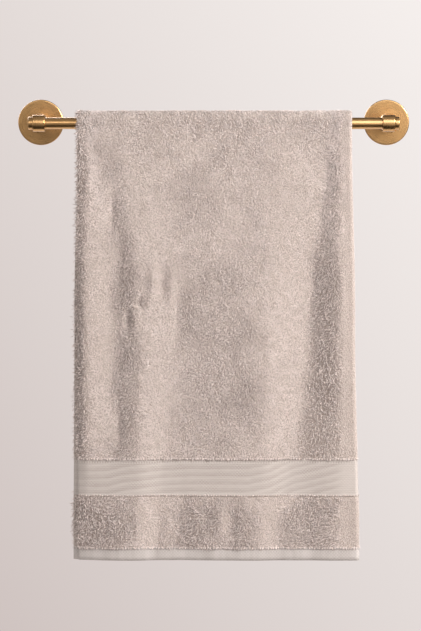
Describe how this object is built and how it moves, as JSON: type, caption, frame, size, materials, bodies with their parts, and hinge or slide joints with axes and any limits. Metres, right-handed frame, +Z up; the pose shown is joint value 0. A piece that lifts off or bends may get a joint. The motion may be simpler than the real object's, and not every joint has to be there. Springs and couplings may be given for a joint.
{
  "type": "bath towel on a wall rail",
  "caption": "Plush terry bath towel with a woven border band and flat hem, folded lengthwise and hung over a round brass wall rail.",
  "frame": {"origin": "on the wall plane, midway between the two rosettes, level with the axis of the rail", "axes": "+X to the right along the rail, +Y into the wall, +Z up; the towel's front faces -Y"},
  "size_m": [0.517, 0.0908, 0.6],
  "materials": {
    "terry": "plush greige cotton terry with a smooth ribbed border band and a flat hem",
    "brass": "satin brushed brass"
  },
  "bodies": {
    "root": {"towel": "terry", "rail": "brass", "rosette_left": "brass", "rosette_right": "brass", "post_left": "brass", "post_right": "brass", "sleeve_left": "brass", "sleeve_right": "brass", "end_cap_left": "brass", "end_cap_right": "brass"}
  },
  "joints": []
}
